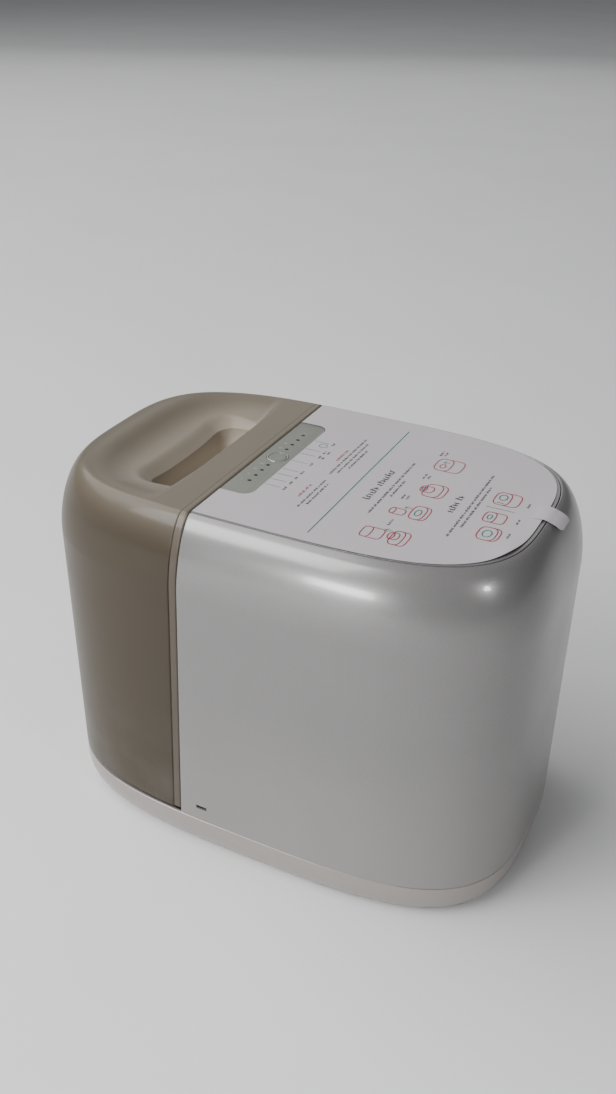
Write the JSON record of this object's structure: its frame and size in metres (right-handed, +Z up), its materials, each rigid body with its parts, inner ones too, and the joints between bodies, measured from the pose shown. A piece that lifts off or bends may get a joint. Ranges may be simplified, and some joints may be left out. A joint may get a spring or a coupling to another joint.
{
  "type": "evaporative room humidifier",
  "caption": "Room humidifier: translucent lift-off water tank beside a fan housing on a shared tray, with a round wick filter, a fan, a sprung tank valve and touch controls on top.",
  "frame": {"origin": "on the floor, bottom centre of the case's box", "axes": "+X along the case's long side towards the fan housing's rounded end, +Y towards the back with the air intake, +Z up"},
  "size_m": [0.3756, 0.2398, 0.2887],
  "materials": {
    "case": "pearl grey, satin gloss",
    "tank": "smoke grey, translucent",
    "strip": "grey-green satin",
    "film": "printed film, soft sheen",
    "clear": "clear moulded",
    "inner": "plain moulded",
    "dark": "black moulded",
    "rubber": "matte",
    "steel": "zinc plated",
    "board": "solder mask",
    "wick": "pleated non-woven"
  },
  "bodies": {
    "tray": {"tray_pan": "case", "rubber_foot_0": "rubber", "rubber_foot_1": "rubber", "rubber_foot_2": "rubber", "rubber_foot_3": "rubber"},
    "float": {"level_float": "inner", "float_magnet": "dark"},
    "tank": {"tank_shell": "tank", "tank_back_plate": "tank"},
    "cap": {"tank_cap": "case", "cap_seal": "rubber", "valve_cage": "inner"},
    "valve": {"valve_stem": "inner", "valve_seal": "rubber", "valve_spring": "steel"},
    "housing": {"body_shell": "case", "intake_grille": "case", "top_panel": "case", "control_strip": "strip", "button_ring": "clear", "push_switch": "dark", "light_guide_front": "clear", "light_guide_back": "clear", "control_board": "board", "driver_board": "board", "transformer": "dark", "capacitor": "dark", "fan_deck": "inner", "deck_screw_0": "steel", "deck_screw_1": "steel", "deck_screw_2": "steel", "deck_screw_3": "steel", "fan_shroud": "inner", "motor_bracket": "inner", "bracket_screw_0": "steel", "bracket_screw_1": "steel", "bracket_screw_2": "steel", "fan_motor": "steel", "level_sensor": "inner", "power_inlet": "dark", "guide_film": "film"},
    "button": {"setting_button": "strip"},
    "fan": {"fan_impeller": "dark", "motor_shaft": "steel"},
    "filter": {"wick_filter": "wick", "filter_base_ring": "inner", "filter_top_ring": "inner"}
  },
  "joints": [
    {"name": "housing_lift", "type": "slide", "parent": "tray", "child": "housing", "axis": [0.04, 0, 0.9992], "range_m": [0, 0.3]},
    {"name": "filter_lift", "type": "slide", "parent": "tray", "child": "filter", "axis": [0.04, 0, 0.9992], "range_m": [0, 0.12]},
    {"name": "tank_lift", "type": "slide", "parent": "tray", "child": "tank", "axis": [0, 0, 1], "range_m": [0, 0.3]},
    {"name": "cap_turn", "type": "hinge", "parent": "tank", "child": "cap", "pos_m": [-0.118, 0, 0.02], "axis": [0, 0, 1], "range_deg": [-90, 0]},
    {"name": "valve_slide", "type": "slide", "parent": "cap", "child": "valve", "axis": [0, 0, 1], "range_m": [-0.0036, 0], "deforming": ["valve_spring"]},
    {"name": "float_rise", "type": "slide", "parent": "tray", "child": "float", "axis": [0, 0, 1], "range_m": [0, 0.012]},
    {"name": "button_press", "type": "slide", "parent": "housing", "child": "button", "axis": [0, 0, -1], "range_m": [0, 0.0008], "stiffness_N_per_m": 800},
    {"name": "fan_spin", "type": "hinge", "parent": "housing", "child": "fan", "pos_m": [0.062, 0, 0.22], "axis": [0, 0, 1], "continuous": true}
  ],
  "couplings": [
    {"joint": "filter_lift", "follows": "housing_lift", "ratio": 0.4},
    {"joint": "valve_slide", "follows": "tank_lift", "ratio": -0.012}
  ]
}
